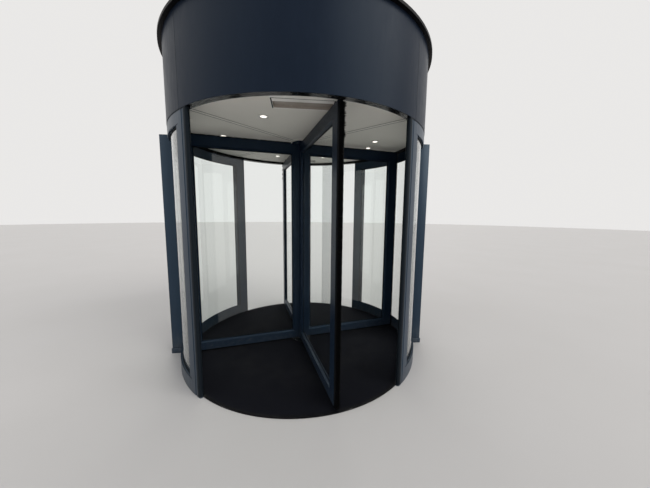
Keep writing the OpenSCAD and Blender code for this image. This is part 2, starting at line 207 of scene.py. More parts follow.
# Camera: where the photograph was taken, 2.9 m in front of the axis at chest
# height, turned a little to the right and tilted down, with a wide lens.
CAMERA_PLACE = Vector((-0.0379, -2.9299, 1.4689))
CAMERA_TURN = 0.104
CAMERA_TILT = 0.1181
CAMERA_ROLL = 0.0089
LENS, FILM_WIDTH = 14.353, 36.0
NEAREST = 0.05

camera_data = bpy.data.cameras.new("camera")
camera_data.sensor_width = FILM_WIDTH
camera_data.lens = LENS
camera_data.clip_start = NEAREST
camera = add_object("camera", camera_data)
ahead = Vector((
    math.sin(CAMERA_TURN) * math.cos(CAMERA_TILT),
    math.cos(CAMERA_TURN) * math.cos(CAMERA_TILT),
    -math.sin(CAMERA_TILT),
))
level = Vector((math.cos(CAMERA_TURN), -math.sin(CAMERA_TURN), 0.0))
upward = level.cross(ahead)
right = level * math.cos(CAMERA_ROLL) + upward * math.sin(CAMERA_ROLL)
over = upward * math.cos(CAMERA_ROLL) - level * math.sin(CAMERA_ROLL)
camera.matrix_world = Matrix.Translation(CAMERA_PLACE) @ Matrix((right, over, -ahead)).transposed().to_4x4()
bpy.context.scene.camera = camera


# Trim ring round the mat: a flat ring of black anodised aluminium, rolled and
# held by low socket screws. Shoes polish its top. The trim ring at the top of
# the canopy has the same finish; its black also paints the shade of the joint
# where the canopy meets the room's ceiling.
SHARP_FROM = math.radians(35.0)
UPSIDE_DOWN = Matrix.Rotation(math.pi, 4, "X")
HEAD_SIDES = 18
HEAD_TAPER, SOCKET_WALL, SOCKET_DEEP = 0.86, 0.42, 0.8
RING_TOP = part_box("floor_ring")[1].z
RING_SCREW = (0.0042, 0.0005)
RING_SCREWS = 24
RING_SCREW_AT, RING_SCREW_START = 1.2055, 0.1


def dress(names, finish):
    for name in names:
        for holder in nodes[name].material_slots:
            holder.material = finish


def add_piece(name, shape, finish, body):
    """Turns the faces of a shape outward and adds it as a piece that rides on a body."""
    data = bpy.data.meshes.new(name)
    bmesh.ops.recalc_face_normals(shape, faces=shape.faces)
    shape.to_mesh(data)
    shape.free()
    data.materials.append(finish)
    data.shade_smooth()
    data.set_sharp_from_angle(angle=SHARP_FROM)
    piece = add_object(name, data)
    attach(piece, body)
    return piece


def join(shapes):
    whole = bmesh.new()
    for shape in shapes:
        part = bpy.data.meshes.new("part")
        shape.to_mesh(part)
        shape.free()
        whole.from_mesh(part)
        bpy.data.meshes.remove(part)
    return whole


def copies(shape, places):
    placed = []
    for place in places:
        placed.append(shape.copy())
        bmesh.ops.transform(placed[-1], matrix=place, verts=placed[-1].verts)
    shape.free()
    return join(placed)


def inset(shape, faces, width, depth=0.0):
    bmesh.ops.inset_region(
        shape, faces=faces, thickness=width, depth=depth, use_boundary=True, use_even_offset=True
    )


def screw_head(radius, proud):
    """A round head with a socket, seated at the origin and facing up."""
    shape = bmesh.new()
    bmesh.ops.create_cone(
        shape, cap_ends=True, segments=HEAD_SIDES, radius1=radius, radius2=radius * HEAD_TAPER, depth=proud
    )
    bmesh.ops.translate(shape, vec=(0.0, 0.0, proud / 2.0), verts=shape.verts)
    top = max(shape.faces, key=lambda face: face.calc_center_median().z)
    inset(shape, [top], radius * SOCKET_WALL)
    bmesh.ops.translate(shape, vec=(0.0, 0.0, -proud * SOCKET_DEEP), verts=top.verts)
    return shape


def round_places(radius, height, count, start=0.0, facing_down=False):
    """Places on a circle, from a start angle on."""
    seat = Matrix.Translation((radius, 0.0, height)) @ (UPSIDE_DOWN if facing_down else Matrix.Identity(4))
    return [Matrix.Rotation(start + math.tau * number / count, 4, "Z") @ seat for number in range(count)]


def times(tint, share):
    return colour(*[part * share for part in tint[:3]])


def dark_metal(name, tone, bright, shine):
    paint = new_paint(name)
    drift = paint.noise(3.0, 4.0)
    rub = paint.noise(60.0, 5.0, 0.7)
    worn = paint.between(rub, 0.58, 0.78)
    base = paint.mix(drift, tone, times(tone, 1.5))
    return paint.principled({
        "Base Color": paint.mix(worn * 0.5, base, bright),
        "Metallic": 0.25,
        "Roughness": paint.spread(rub * 0.6 + drift * 0.4, shine, shine + 0.16),
        "Specular IOR Level": 0.1,
        "Normal": paint.bump(paint.noise(900.0, 2.0), 0.06, 0.0004),
    })


def steel(name):
    paint = new_paint(name)
    streak = paint.noise(18.0, 6.0, 0.65, paint.turned(scale=(1.0, 1.0, 30.0)))
    return paint.principled({
        "Base Color": paint.mix(streak, colour(0.38, 0.38, 0.39), colour(0.6, 0.6, 0.59)),
        "Metallic": 0.95,
        "Roughness": paint.spread(streak, 0.24, 0.42),
    })


black_anodised = dark_metal(
    "black_anodised", colour(0.0026, 0.0026, 0.0034), colour(0.012, 0.012, 0.014), 0.38
)
screw_steel = steel("screw_steel")


def add_screws(name, screw, places, finish=screw_steel, body="drum"):
    add_piece(name, copies(screw_head(*screw), places), finish, body)


# The top ring's black also paints the shade of the joint at the room's ceiling.
dress(["floor_ring", "top_ring"], black_anodised)
ring_screws = round_places(RING_SCREW_AT, RING_TOP, RING_SCREWS, RING_SCREW_START)
add_screws("floor_ring_screws", RING_SCREW, ring_screws, black_anodised)


# Entrance mat: a disc of black needled fibre, cut to the ring and laid loose
# round the floor bearing. Feet wear a faint lighter band between wall and
# centre, which also leaves the mat darker next to the wall and round the
# bearing as painted shade.
def mat_fibre():
    paint = new_paint("mat_pile")
    flat = paint.turned(scale=(1.0, 1.0, 0.0))
    reach = paint.node("ShaderNodeVectorMath", {"operation": "LENGTH"}, {0: flat}, out="Value")
    worn_band_and_shade = paint.between(reach, 0.35, 0.7) * paint.between(reach, 0.72, 1.1, 1.0, 0.0)
    cloud = paint.noise(5.0, 5.0, 0.6)
    tuft = paint.cells(420.0)
    fleck = paint.between(paint.noise(260.0, 2.0, 0.8), 0.68, 0.78)
    lint = paint.between(paint.noise(95.0, 1.0), 0.76, 0.8)
    base = paint.mix(cloud, colour(0.0028, 0.0034, 0.0062), colour(0.0058, 0.0064, 0.0102))
    base = paint.mix(fleck * 0.3, base, colour(0.026, 0.027, 0.031))
    # Lighter worn band between wall and centre; the darker wall side and centre it leaves are painted shade.
    base = paint.mix(worn_band_and_shade * paint.between(cloud, 0.35, 0.7) * 0.4, base, colour(0.018, 0.0175, 0.0185))
    base = paint.mix(lint * 0.2, base, colour(0.12, 0.115, 0.11))
    return paint.principled({
        "Base Color": base,
        "Roughness": 0.96,
        "Specular IOR Level": 0.06,
        "Sheen Weight": 0.02,
        "Sheen Roughness": 0.5,
        "Normal": paint.bump(tuft, 0.9, 0.0015, paint.bump(cloud, 0.4, 0.004)),
    })


dress(["floor_mat"], mat_fibre())


# Paint for the frame: dark blue grey powder coat on aluminium, satin, with a
# fine orange peel, and dust and shoe marks near the floor. The rotor's coat is
# made lighter below one metre, fitted to how it looks: painted light from the
# floor on its lower parts.
SKY_SHINE = colour(0.66, 0.84, 1.0)
# Painted light: below this height the rotor's coat is blended towards this lighter blue, in place of light
# from the floor.
FLOOR_LIGHT_TOP = 1.0
PAINTED_FLOOR_LIGHT = colour(0.017, 0.031, 0.054)


def powder_coat(name, low, high, shine, dust=0.5, gloss=0.3, floor_light_share=0.0):
    paint = new_paint(name)
    drift = paint.noise(1.6, 4.0, 0.6)
    peel = paint.noise(520.0, 2.0, 0.5)
    rub = paint.noise(34.0, 5.0, 0.7, paint.turned(scale=(1.0, 1.0, 0.25)))
    near_floor = paint.between(paint.axis("Z"), 0.0, 0.3, 1.0, 0.0) ** 2.0
    dusty = near_floor * paint.between(rub, 0.35, 0.75) * dust
    marks = paint.between(paint.noise(70.0, 3.0, 0.6, paint.turned(scale=(0.35, 0.35, 1.6))), 0.66, 0.72)
    base = paint.mix(drift, low, high)
    base = paint.mix(paint.between(rub, 0.45, 0.75) * 0.15, base, times(high, 1.6))
    # Painted light from the floor: the coat turns lighter and bluer towards the floor, by the given share.
    base = paint.mix(paint.between(paint.axis("Z"), 0.0, FLOOR_LIGHT_TOP, floor_light_share, 0.0), base, PAINTED_FLOOR_LIGHT)
    base = paint.mix(dusty, base, colour(0.17, 0.16, 0.145))
    base = paint.mix(marks * near_floor * 0.5, base, colour(0.25, 0.245, 0.24))
    return paint.principled({
        "Base Color": base,
        "Roughness": paint.spread(rub, shine - 0.04, shine + 0.07) + dusty * 0.3,
        "Specular IOR Level": gloss,
        "Specular Tint": SKY_SHINE,
        "Normal": paint.bump(peel, 0.03, 0.0006),
    })


frame_paint = powder_coat(
    "frame_coat", colour(0.009, 0.0205, 0.038), colour(0.0135, 0.028, 0.05), shine=0.33, gloss=0.42
)


# Floor bearing: the turned cover over the pivot on which the rotor stands. It
# is matt black, with a dull bare rim and four screws. The rim is lighter than
# the cover, and it also paints the highlight along the cover's edge.
BEARING_TOP = 0.010
BEARING_RIM = (0.1022, 0.1045)
RIM_PROUD, RIM_CORNER = 0.0008, 0.0005
RIM_STEPS = 96
BEARING_SCREW = (0.005, 0.0006)
BEARING_SCREWS = 4
BEARING_SCREW_AT, BEARING_SCREW_START = 0.086, 0.6


def spin(shape, parts, angle, steps, middle=(0.0, 0.0, 0.0), merge=False):
    """Sweeps parts of a shape about an upright axis and returns what ends the sweep."""
    swung = bmesh.ops.spin(
        shape, geom=parts, cent=middle, axis=(0.0, 0.0, 1.0), dvec=(0.0, 0.0, 0.0),
        angle=angle, steps=steps, use_merge=merge, use_duplicate=False,
    )
    return swung["geom_last"]


def swept(section, start, end, steps):
    """A closed section of (radius, height) corners, turned about the axis."""
    full = math.isclose(end - start, math.tau)
    shape = bmesh.new()
    turn = Matrix.Rotation(start, 3, "Z")
    corners = [shape.verts.new(turn @ Vector((radius, 0.0, height))) for radius, height in section]
    loop = [shape.edges.new((corner, corners[number - 1])) for number, corner in enumerate(corners)]
    spin(shape, corners + loop, end - start, steps, merge=full)
    if not full:
        bmesh.ops.edgeloop_fill(shape, edges=[edge for edge in shape.edges if edge.is_boundary])
    return shape


def rim_section(inner, outer, low, high, corner):
    """A bar's section, flat below, with its two upper corners cut off."""
    return [
        (inner, low), (outer, low), (outer, high - corner), (outer - corner, high),
        (inner + corner, high), (inner, high - corner),
    ]


bearing_coat = powder_coat(
    "bearing_coat", colour(0.002, 0.003, 0.0042), colour(0.0035, 0.0048, 0.0065),
    shine=0.62, dust=0.0, gloss=0.12,
)
dress(["floor_bearing"], bearing_coat)
bearing_rim = rim_section(*BEARING_RIM, BEARING_TOP, BEARING_TOP + RIM_PROUD, RIM_CORNER)
# The lighter rim is bare metal and also a painted highlight on the cover's edge.
bare_rim_and_highlight = dark_metal("bare_rim_and_highlight", colour(0.07, 0.07, 0.072), colour(0.22, 0.22, 0.22), 0.42)
add_piece("floor_bearing_rim", swept(bearing_rim, 0.0, math.tau, RIM_STEPS), bare_rim_and_highlight, "drum")
bearing_screws = round_places(BEARING_SCREW_AT, BEARING_TOP, BEARING_SCREWS, BEARING_SCREW_START)
add_screws("floor_bearing_screws", BEARING_SCREW, bearing_screws)


# Throat posts: extruded aluminium with a fluted outer face, cut to the clear
# height. A black rubber guard wraps each rounded nose, from the outer face round
# to the inner one, and its near black also paints the shade on the noses.
WALL_OUT, WALL_IN = 1.248, 1.214
WALL_MID = (WALL_OUT + WALL_IN) / 2.0
CLEAR_HEIGHT = 2.2
THROAT_ANGLE = 40.5
POST_WIDE = 0.125
POST_START = math.radians(THROAT_ANGLE - 90.0)
POST_END = POST_START + POST_WIDE / WALL_MID
NOSE_RADIUS = (WALL_OUT - WALL_IN) / 2.0
NOSE_AT = POST_START + math.asin(NOSE_RADIUS / WALL_MID)
HAIR = 0.0001
GUARD_THICK = 0.0012
GUARD_WIDE = 0.033
GUARD_START = POST_START + GUARD_WIDE / WALL_MID
GUARD_TURN = math.radians(158.0)
GUARD_STEPS, GUARD_FLAT_STEPS = 40, 4
GUARD_OVER_RING, GUARD_UNDER_CANOPY = 0.002, 0.001
QUARTERS = {
    "front_right": (1.0, 1.0),
    "front_left": (-1.0, 1.0),
    "rear_right": (1.0, -1.0),
    "rear_left": (-1.0, -1.0),
}
RUBBER_HUE = (0.8, 1.15, 1.6)


def black_rubber(name, tone=0.004, shine=0.58):
    paint = new_paint(name)
    bloom = paint.noise(22.0, 4.0, 0.6)
    dust = paint.between(paint.noise(140.0, 3.0, 0.7), 0.55, 0.75)
    base = paint.mix(bloom, times(RUBBER_HUE, tone), times(RUBBER_HUE, tone * 2.0))
    return paint.principled({
        "Base Color": paint.mix(dust * 0.05, base, colour(0.08, 0.08, 0.08)),
        "Roughness": paint.spread(bloom, shine - 0.05, shine + 0.1),
        "Specular IOR Level": 0.15,
        "Specular Tint": SKY_SHINE,
        "Normal": paint.bump(paint.noise(650.0, 2.0), 0.15, 0.0004),
    })


def mirrored(shape, across, along):
    """Mirrors a shape into another quarter of the drum."""
    bmesh.ops.scale(shape, vec=(across, along, 1.0), verts=shape.verts)
    return shape


def raise_new(shape, grown, rise):
    """Lifts the corners that an extrusion has made."""
    corners = [item for item in grown["geom"] if isinstance(item, bmesh.types.BMVert)]
    bmesh.ops.translate(shape, vec=(0.0, 0.0, rise), verts=corners)


def thicken(shape, thickness):
    """Gives open faces a thickness, on the side they look to, or behind them if it is negative."""
    bmesh.ops.solidify(shape, geom=shape.faces[:], thickness=-thickness)


def nose_guard():
    """The guard of the front right post: its outline is spun, raised and then thickened outward."""
    middle = Vector((WALL_MID * math.cos(NOSE_AT), WALL_MID * math.sin(NOSE_AT), 0.0))
    shape = bmesh.new()
    start = Matrix.Rotation(GUARD_START, 3, "Z") @ Vector((WALL_OUT + HAIR, 0.0, 0.0))
    first = shape.verts.new(start + Vector((0.0, 0.0, RING_TOP + GUARD_OVER_RING)))
    flat_end = spin(shape, [first], NOSE_AT - GUARD_START, GUARD_FLAT_STEPS)
    spin(shape, flat_end, -GUARD_TURN, GUARD_STEPS, middle)
    grown = bmesh.ops.extrude_edge_only(shape, edges=shape.edges[:])
    raise_new(shape, grown, CLEAR_HEIGHT - GUARD_UNDER_CANOPY - first.co.z)
    bmesh.ops.recalc_face_normals(shape, faces=shape.faces)
    front = Vector((0.0, -1.0))
    tip = min(shape.faces, key=lambda face: face.calc_center_median().to_2d().angle_signed(front))
    if tip.normal.dot(tip.calc_center_median() - middle) < 0.0:
        bmesh.ops.reverse_faces(shape, faces=shape.faces)
    thicken(shape, GUARD_THICK)
    return shape


rubber = black_rubber("trim_rubber")


def add_rubber(name, shape):
    add_piece(name, shape, rubber, "drum")


dress(["post_" + where for where in QUARTERS], frame_paint)
# The guard's dark rubber is partly painted shade on the post noses.
guard_rubber_and_shade = black_rubber("guard_rubber_and_shade", 0.0042, 0.56)
for where, (across, along) in QUARTERS.items():
    guard = mirrored(nose_guard(), across, along)
    add_piece("post_guard_" + where, guard, guard_rubber_and_shade, "drum")


# Post beads: aluminium covers clipped on outside, beside each throat post, that
# hold the edge of the pane. They are set back a little from the post.
BASE_LEDGE = 0.120
BASE_LIP = 0.132
HEAD_UNDER = 2.104
GLASS_OUT, GLASS_IN = 1.228, 1.218
POST_BEAD = 0.038
BEAD_BACK, BEAD_GAP = 0.002, 0.0003
BEAD_END = POST_END + POST_BEAD / WALL_MID
ARC_STEP = math.radians(1.5)
BAR_CORNER = 0.0015


def arc_bar(inner, outer, low, high, start, end, corner=BAR_CORNER):
    """A bar bent round the axis, between two radii, two heights and two angles."""
    steps = max(1, round((end - start) / ARC_STEP))
    return swept(rim_section(inner, outer, low, high, corner), start, end, steps)


for where, (across, along) in QUARTERS.items():
    bead = arc_bar(
        GLASS_OUT + HAIR, WALL_OUT - BEAD_BACK, BASE_LEDGE + HAIR, HEAD_UNDER - HAIR,
        POST_END + BEAD_GAP, BEAD_END,
    )
    add_piece("post_bead_" + where, mirrored(bead, across, along), frame_paint, "drum")


# Curved walls: rolled bottom and head rails and a middle post, coated like the
# posts. Black glazing rubber seals the pane on both sides along every edge.
MIDDLE_HALF = 0.04 / WALL_MID
RUBBER_WIDE, RUBBER_INSIDE = 0.0055, 0.0036
RUBBER_HIGH = 0.009
LIP_RUBBER_HIGH = RUBBER_HIGH * 0.7
COVER_JOINT_DEEP, COVER_JOINT_BACK = 0.0028, 0.0002
COVER_JOINT_DOWN, COVER_JOINT_UP = 0.0026, 0.0004
COVER_JOINT_CORNER = 0.0004
SIDES = {"right": 1.0, "left": -1.0}


def wall_rubber():
    """Glazing rubber for one quarter of the wall, from a throat post to the middle post."""
    outer = (GLASS_OUT + HAIR, GLASS_OUT + RUBBER_WIDE)
    inner = (GLASS_IN - RUBBER_INSIDE, GLASS_IN - HAIR)
    end = -MIDDLE_HALF
    side = RUBBER_HIGH / WALL_MID
    base, head = BASE_LEDGE + HAIR, HEAD_UNDER - HAIR
    lip = BASE_LIP + HAIR
    shapes = [
        arc_bar(*outer, base, base + RUBBER_HIGH, BEAD_END, end),
        arc_bar(*inner, lip, lip + LIP_RUBBER_HIGH, POST_END, end),
        arc_bar(*outer, head - RUBBER_HIGH, head, BEAD_END, end),
        arc_bar(*inner, head - RUBBER_HIGH, head, POST_END, end),
    ]
    last = end - side - HAIR
    for start in (BEAD_END + HAIR, last):
        shapes.append(arc_bar(*outer, base + RUBBER_HIGH, head - RUBBER_HIGH, start, start + side))
    for start in (POST_END + HAIR, last):
        shapes.append(arc_bar(*inner, lip + RUBBER_HIGH, head - RUBBER_HIGH, start, start + side))
    return join(shapes)


def cover_joint():
    """Black line where the snap-on cover of a bottom rail meets its ledge."""
    return arc_bar(
        WALL_OUT - COVER_JOINT_DEEP, WALL_OUT - COVER_JOINT_BACK,
        BASE_LEDGE - COVER_JOINT_DOWN, BASE_LEDGE + COVER_JOINT_UP,
        POST_END, -POST_END, COVER_JOINT_CORNER,
    )


for side, across in SIDES.items():
    dress(["wall_base_" + side, "wall_head_" + side, "wall_middle_post_" + side], frame_paint)
    quarters = [mirrored(wall_rubber(), across, along) for along in (1.0, -1.0)]
    add_rubber("wall_rubber_" + side, join(quarters))
    add_rubber("wall_joint_" + side, mirrored(cover_joint(), across, 1.0))


# Glass: clear panes with a faint green tint, curved in the walls and flat in
# the wings. Shadow rays and diffuse rays pass straight through, a little dimmed.
def clear_glass(name, tint):
    paint = new_paint(name)
    smear = paint.between(paint.noise(5.0, 4.0, 0.6), 0.5, 0.9)
    pane = paint.node("ShaderNodeBsdfPrincipled", {}, {
        "Base Color": paint.mix(smear, tint, times(tint, 0.99)),
        "Roughness": smear * 0.002,
        "IOR": 1.45,
        "Specular IOR Level": 0.25,
        "Transmission Weight": 1.0,
    })
    passing = paint.node("ShaderNodeBsdfTransparent", {}, {"Color": colour(0.93, 0.95, 0.94)})
    shadow = paint.node("ShaderNodeLightPath", out="Is Shadow Ray")
    soft = paint.node("ShaderNodeLightPath", out="Is Diffuse Ray")
    straight = paint.maths("MAXIMUM", shadow, soft)
    return paint.surface(paint.node("ShaderNodeMixShader", {}, {0: straight, 1: pane, 2: passing}))


wall_pane = clear_glass("curved_glass", colour(0.955, 0.985, 0.97))
dress(["wall_glass_" + where for where in QUARTERS], wall_pane)


# Jambs: folded aluminium channels between the drum and the building, each with
# a front cover, a web and a short rear lip, on foot blocks. A black seal fills
# the joint between front cover and pane.
JAMB_OUT = 1.348
JAMB_HALF = 0.218
JAMB_COVER = 0.030
JAMB_WEB = 0.008
JAMB_LIP = 0.040
JAMB_GAP = 0.0003
JAMB_CORNER = 0.0015
FOOT_HIGH = 0.052
FOOT_PROUD, FOOT_BACK = 0.007, 0.002
FOOT_CORNER = 0.003
SEAL_INSET, SEAL_BACK = 0.003, 0.0004
SEAL_SHORT = 0.0095
SEAL_CORNER = 0.003
SEAL_STEPS = 2


def beside_drum(y):
    """Where a jamb's cover meets the drum, a hair clear of it."""
    return math.sqrt((WALL_OUT + JAMB_GAP) ** 2 - y ** 2)


def soften(shape, edges, width, segments=2):
    bmesh.ops.bevel(
        shape, geom=edges, offset=width, segments=segments, affect="EDGES", profile=0.5, material=-1
    )


def box_bar(low, high, corner, segments=2):
    """A straight bar between two corners, with its edges rounded."""
    shape = bmesh.new()
    bmesh.ops.create_cube(shape, size=1.0)
    bmesh.ops.scale(shape, vec=[end - start for start, end in zip(low, high)], verts=shape.verts)
    bmesh.ops.translate(shape, vec=[(start + end) / 2.0 for start, end in zip(low, high)], verts=shape.verts)
    soften(shape, shape.edges[:], corner, segments)
    return shape


def jamb_channel():
    """The +X jamb: its plan, raised to the clear height, with softened corners."""
    behind_cover, before_lip = JAMB_COVER - JAMB_HALF, JAMB_HALF - JAMB_COVER
    lip_end, web_in = JAMB_OUT - JAMB_LIP, JAMB_OUT - JAMB_WEB
    plan = [
        (beside_drum(JAMB_HALF), -JAMB_HALF), (JAMB_OUT, -JAMB_HALF), (JAMB_OUT, JAMB_HALF),
        (lip_end, JAMB_HALF), (lip_end, before_lip), (web_in, before_lip),
        (web_in, behind_cover), (beside_drum(behind_cover), behind_cover),
    ]
    shape = bmesh.new()
    low = shape.faces.new([shape.verts.new((x, y, 0.0)) for x, y in plan])
    raise_new(shape, bmesh.ops.extrude_face_region(shape, geom=[low], use_keep_orig=True), CLEAR_HEIGHT)
    bmesh.ops.recalc_face_normals(shape, faces=shape.faces)
    soften(shape, shape.edges[:], JAMB_CORNER)
    return shape


def foot_block(start, near, far):
    """A foot block from start outwards, between two distances along Y."""
    return box_bar((start, near, 0.0), (JAMB_OUT + FOOT_PROUD, far, FOOT_HIGH), FOOT_CORNER, 3)


def jamb_seal():
    """The upright seal behind a jamb's cover, on the +Y side."""
    near = math.asin((JAMB_HALF - JAMB_COVER + SEAL_INSET) / WALL_OUT)
    far = math.asin((JAMB_HALF - SEAL_INSET) / WALL_OUT)
    section = rim_section(
        GLASS_OUT + HAIR, WALL_OUT - SEAL_BACK, BASE_LEDGE + SEAL_SHORT, HEAD_UNDER - SEAL_SHORT, SEAL_CORNER
    )
    return swept(section, near, far, SEAL_STEPS)


for side, across in SIDES.items():
    cover_end = JAMB_COVER - JAMB_HALF
    channel = join([
        jamb_channel(),
        foot_block(beside_drum(cover_end) + FOOT_BACK, -JAMB_HALF - FOOT_PROUD, cover_end),
        foot_block(JAMB_OUT - JAMB_LIP, JAMB_HALF - JAMB_COVER, JAMB_HALF + FOOT_PROUD),
    ])
    shape = mirrored(channel, across, 1.0)
    jamb = add_piece("jamb_channel_" + side, shape, frame_paint, "drum")
    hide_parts("jamb_" + side)
    add_rubber("jamb_seal_" + side, mirrored(jamb_seal(), across, -1.0))


# Canopy: four rolled fascia sheets in satin dark blue grey, butted at 45
# degrees. A thin black strip where they meet the walls and posts paints the
# shadow of the joint.
CANOPY_OUT = 1.250
FASCIA_LOW, FASCIA_TOP = CLEAR_HEIGHT, 2.855
SEAM_HALF, SEAM_DEEP, SEAM_PROUD = 0.0022, 0.001, 0.0002
SEAM_SHORT, SEAM_CORNER = 0.0005, 0.0001
# Sizes of the black strip that paints the shadow under the fascia.
SHADOW_STRIP_HIGH, SHADOW_STRIP_PROUD = 0.008, 0.0014
SHADOW_STRIP_GAP, SHADOW_STRIP_CORNER = 0.0002, 0.0005

fascia_paint = powder_coat(
    "fascia_satin", colour(0.0072, 0.0122, 0.0232), colour(0.009, 0.0146, 0.0272),
    shine=0.36, dust=0.0, gloss=0.1,
)
dress(["fascia_front", "fascia_right", "fascia_rear", "fascia_left"], fascia_paint)
seam = arc_bar(
    CANOPY_OUT - SEAM_DEEP, CANOPY_OUT + SEAM_PROUD, FASCIA_LOW + SEAM_SHORT, FASCIA_TOP - SEAM_SHORT,
    -SEAM_HALF / CANOPY_OUT, SEAM_HALF / CANOPY_OUT, SEAM_CORNER,
)
seams = copies(seam, round_places(0.0, 0.0, 4, math.radians(45.0)))
add_rubber("fascia_seams", seams)
# Over each wall, a black strip paints the shadow of the joint with the fascia.
for side, across in SIDES.items():
    shadow_strip = arc_bar(
        WALL_OUT + HAIR, WALL_OUT + SHADOW_STRIP_PROUD, CLEAR_HEIGHT - SHADOW_STRIP_HIGH, CLEAR_HEIGHT - SHADOW_STRIP_GAP,
        POST_START, -POST_START, SHADOW_STRIP_CORNER,
    )
    add_rubber("canopy_tape_" + side, mirrored(shadow_strip, across, 1.0))


# Roof: flat coated sheet that closes the canopy, with a strip riveted over its
# joint. The head beam inside has the same coat. None of it shows from below.
TOP_RING_IN = 1.190
ROOF_STRIP_WIDE, ROOF_STRIP_THICK = 0.05, 0.0015
ROOF_STRIP_SHORT, ROOF_STRIP_UP = 0.004, 0.0002
ROOF_STRIP_CORNER = 0.0005
RIVET = (0.004, 0.001)
RIVETS, RIVET_PITCH, RIVET_ASIDE = 24, 0.1, 0.32


def roof_metal():
    paint = new_paint("roof_sheet_coat")
    cloud = paint.noise(2.5, 5.0, 0.6)
    dust = paint.between(paint.noise(11.0, 5.0, 0.7), 0.4, 0.7)
    base = paint.mix(cloud, colour(0.42, 0.42, 0.41), colour(0.52, 0.52, 0.5))
    return paint.principled({
        "Base Color": paint.mix(dust * 0.4, base, colour(0.33, 0.31, 0.28)),
        "Metallic": 0.3,
        "Roughness": paint.spread(cloud, 0.45, 0.6),
        "Normal": paint.bump(cloud, 0.12, 0.01),
    })


def sheet(wide, deep, place):
    """A flat face along X and Y, centred on a place and facing up."""
    shape = bmesh.new()
    bmesh.ops.create_grid(shape, x_segments=1, y_segments=1, size=0.5)
    bmesh.ops.scale(shape, vec=(wide, deep, 1.0), verts=shape.verts)
    bmesh.ops.translate(shape, vec=place, verts=shape.verts)
    return shape


roof_finish = roof_metal()
dress(["roof_sheet", "head_beam"], roof_finish)
strip_level = FASCIA_TOP + ROOF_STRIP_UP
roof_strip = sheet(2.0 * TOP_RING_IN - ROOF_STRIP_SHORT, ROOF_STRIP_WIDE, (0.0, 0.0, strip_level))
thicken(roof_strip, ROOF_STRIP_THICK)
soften(roof_strip, roof_strip.edges[:], ROOF_STRIP_CORNER)
add_piece("roof_joint_strip", roof_strip, roof_finish, "drum")
rivet_places = [
    Matrix.Translation((
        RIVET_PITCH * (number - (RIVETS - 1) / 2.0), side * ROOF_STRIP_WIDE * RIVET_ASIDE,
        strip_level + ROOF_STRIP_THICK,
    ))
    for number in range(RIVETS) for side in (-1.0, 1.0)
]
add_screws("roof_rivets", RIVET, rivet_places)


# Soffit ring: rolled sheet in near black gloss that hides the canopy's edge.
# It is in eight lengths, and low dark screws hold it from below.
def gloss_black():
    paint = new_paint("soffit_gloss_black")
    drift = paint.noise(4.0, 4.0)
    swirl = paint.noise(45.0, 5.0, 0.7)
    return paint.principled({
        "Base Color": paint.mix(drift, colour(0.004, 0.0045, 0.005), colour(0.008, 0.0085, 0.009)),
        "Roughness": paint.between(swirl, 0.3, 0.75, 0.12, 0.18),
        "Specular IOR Level": 0.15,
        "Normal": paint.bump(paint.noise(6.0, 2.0), 0.03, 0.003),
    })


SOFFIT_IN, SOFFIT_OUT = 1.194, 1.244
SOFFIT_LENGTHS = 8
SOFFIT_JOINT_HALF, SOFFIT_JOINT_SHORT = 0.0008, 0.001
SOFFIT_JOINT_PROUD, SOFFIT_JOINT_UP = 0.0002, 0.001
SOFFIT_SCREW = (0.0038, 0.0005)
SOFFIT_SCREWS = 24
SOFFIT_SCREW_AT, SOFFIT_SCREW_START = 1.207, math.radians(4.0)

dress(["soffit_ring"], gloss_black())
soffit_joint = arc_bar(
    SOFFIT_IN + SOFFIT_JOINT_SHORT, SOFFIT_OUT - SOFFIT_JOINT_SHORT,
    CLEAR_HEIGHT - SOFFIT_JOINT_PROUD, CLEAR_HEIGHT + SOFFIT_JOINT_UP,
    -SOFFIT_JOINT_HALF / SOFFIT_OUT, SOFFIT_JOINT_HALF / SOFFIT_OUT, SEAM_CORNER,
)
soffit_joints = copies(soffit_joint, round_places(0.0, 0.0, SOFFIT_LENGTHS, math.pi / SOFFIT_LENGTHS))
add_rubber("soffit_joints", soffit_joints)
soffit_screws = round_places(
    SOFFIT_SCREW_AT, CLEAR_HEIGHT, SOFFIT_SCREWS, SOFFIT_SCREW_START, facing_down=True
)
add_screws("soffit_screws", SOFFIT_SCREW, soffit_screws, black_anodised)


# Ceiling: four sector panels in matt off-white with flat strips over their
# joints. The strips are screwed, and a fine dark lip runs along both edges.
def ceiling_paint(name, low, high):
    paint = new_paint(name)
    roller = paint.noise(300.0, 3.0, 0.6)
    cloud = paint.noise(2.2, 4.0, 0.6)
    scuff = paint.between(paint.noise(28.0, 5.0, 0.75), 0.66, 0.8)
    base = paint.mix(cloud, low, high)
    return paint.principled({
        "Base Color": paint.mix(scuff * 0.12, base, colour(0.3, 0.29, 0.27)),
        "Roughness": paint.spread(roller, 0.58, 0.7),
        "Normal": paint.bump(roller, 0.12, 0.0005, paint.bump(cloud, 0.05, 0.006)),
    })


STRIP_UNDER = 2.228
STRIP_WIDE = 0.042
COVER_RADIUS = 0.120
LIP_WIDE, LIP_DEEP = 0.0055, 0.0004
LIP_OVER, LIP_SHORT = 0.002, 0.002
STRIP_SCREW = (0.0032, 0.0005)
STRIP_SCREWS = 6
STRIP_SCREW_FIRST, STRIP_SCREW_PITCH = 0.17, 0.196

panel_white = ceiling_paint("ceiling_white", colour(0.8, 0.775, 0.715), colour(0.86, 0.835, 0.775))
strip_white = ceiling_paint("strip_white", colour(0.86, 0.835, 0.775), colour(0.91, 0.885, 0.825))
dress(["ceiling_front", "ceiling_right", "ceiling_rear", "ceiling_left"], panel_white)
dress(["ceiling_strips"], strip_white)


